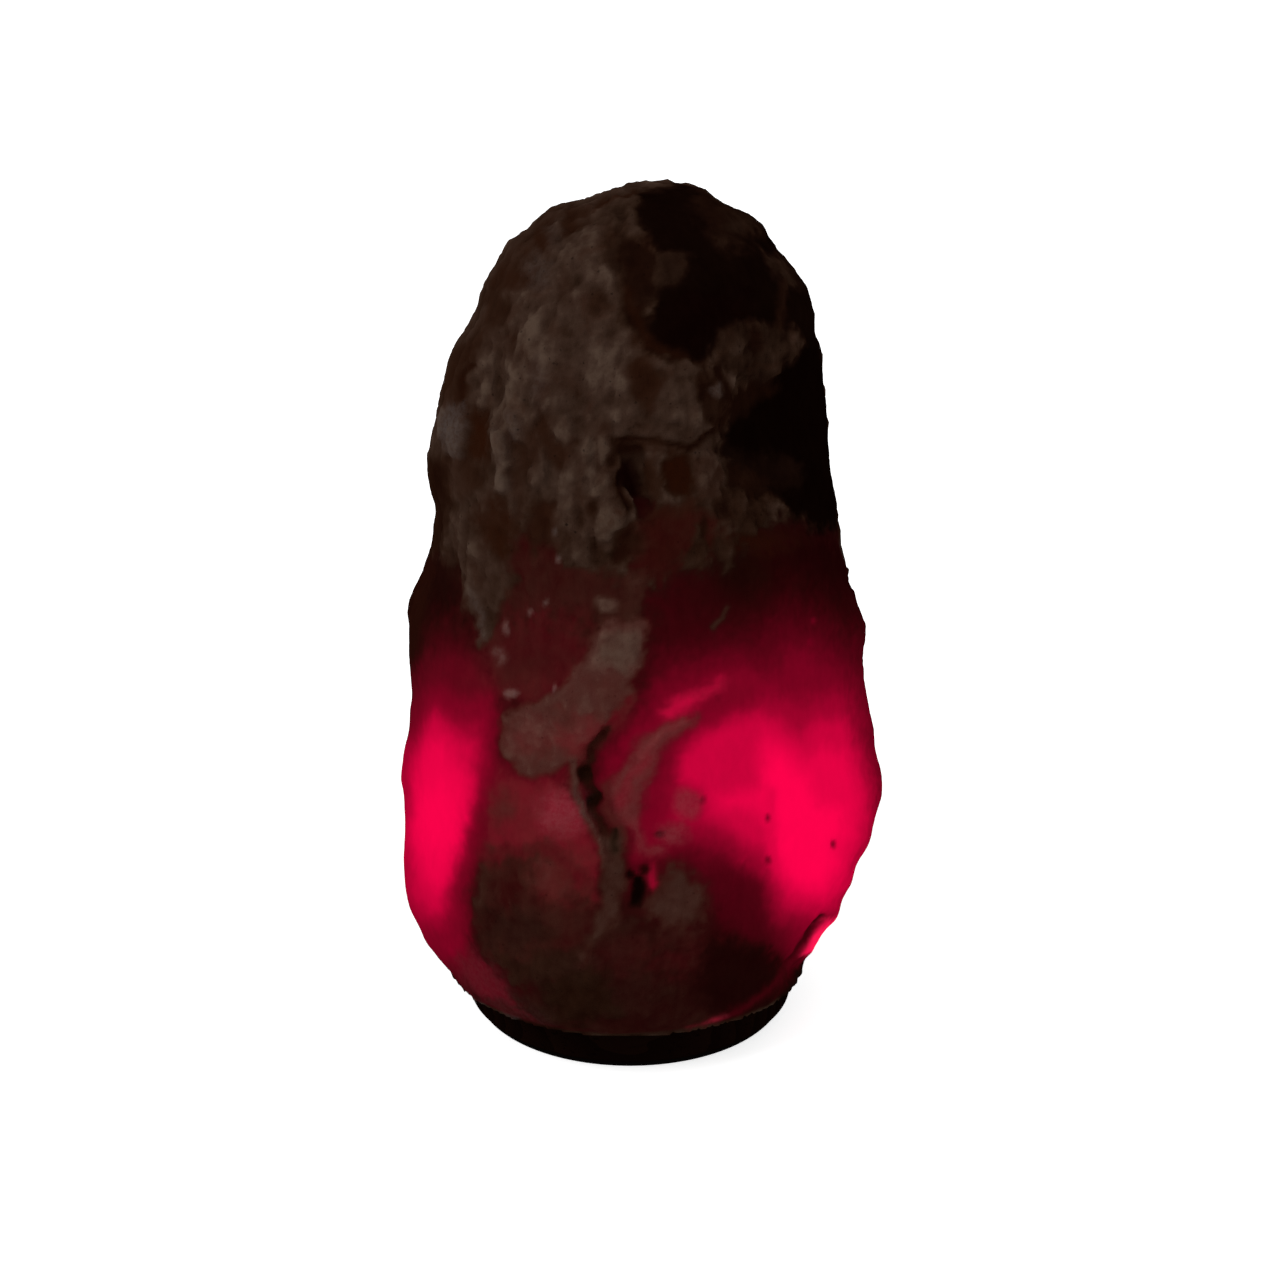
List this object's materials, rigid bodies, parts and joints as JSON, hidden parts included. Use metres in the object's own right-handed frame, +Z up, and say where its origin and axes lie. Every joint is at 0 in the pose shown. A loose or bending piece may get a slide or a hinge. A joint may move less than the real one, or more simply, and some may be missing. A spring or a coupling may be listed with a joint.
{
  "type": "salt crystal lamp",
  "caption": "Table lamp made of a tall rough block of rock salt on a low round wooden base, lit from inside by a bulb in a clip-in holder.",
  "frame": {"origin": "on the table, at the centre of the round base's foot ring", "axes": "+Z up through the crystal, -Y towards the side seen in the picture, +Y towards the side where the cord leaves"},
  "size_m": [0.1354, 0.1213, 0.236],
  "materials": {
    "rock_salt": "rough, translucent",
    "dark_wood": "dark stain, waxed",
    "foot_rubber": "matte",
    "zinc_steel": "zinc plated",
    "spring_steel": "bright",
    "nylon": "matte",
    "black_plastic": "satin",
    "brass_nickel": "bright",
    "white_ceramic": "unglazed",
    "cap_glass": "fused, glossy",
    "white_plastic": "satin",
    "circuit_board": "satin",
    "component_dark": "satin",
    "led_phosphor": "lit",
    "red_diffuser": "frosted, lit"
  },
  "bodies": {
    "holder": {"holder_cap": "black_plastic", "holder_barrel": "black_plastic", "thread_shell": "brass_nickel", "terminal_block": "white_ceramic", "terminal_screws": "zinc_steel", "centre_contact": "brass_nickel", "side_contact": "brass_nickel", "cord_clamp": "black_plastic", "cord_clamp_screws": "zinc_steel", "clip_collar": "spring_steel", "clip_pins": "zinc_steel"},
    "lamp": {"salt_crystal": "rock_salt", "wood_base": "dark_wood", "foot_ring": "foot_rubber", "base_screws": "zinc_steel", "crystal_anchors": "nylon"},
    "bulb": {"bulb_cap_shell": "brass_nickel", "bulb_cap_insulator": "cap_glass", "bulb_tip_contact": "brass_nickel", "bulb_housing": "white_plastic", "bulb_led_board": "circuit_board", "bulb_leds": "led_phosphor", "bulb_diffuser": "red_diffuser", "bulb_driver_board": "circuit_board", "bulb_driver_parts": "component_dark", "bulb_lead": "zinc_steel"},
    "clip_left": {"clip_left": "spring_steel"},
    "clip_right": {"clip_right": "spring_steel"}
  },
  "joints": [
    {"name": "crystal_lift", "type": "slide", "parent": "holder", "child": "lamp", "axis": [0, 0, 1], "range_m": [0, 0.1]},
    {"name": "bulb_turn", "type": "hinge", "parent": "holder", "child": "bulb", "pos_m": [0, 0, 0.044], "axis": [0, 0, 1], "range_deg": [0, 1080]},
    {"name": "wing_squeeze_left", "type": "hinge", "parent": "holder", "child": "clip_left", "pos_m": [-0.01445, 0, 0.037], "axis": [0, -1, 0], "range_deg": [0, 7], "stiffness_Nm_per_rad": 0.15, "springref_deg": -22.92},
    {"name": "wing_squeeze_right", "type": "hinge", "parent": "holder", "child": "clip_right", "pos_m": [0.01445, 0, 0.037], "axis": [0, 1, 0], "range_deg": [0, 7], "stiffness_Nm_per_rad": 0.15, "springref_deg": -22.92}
  ]
}
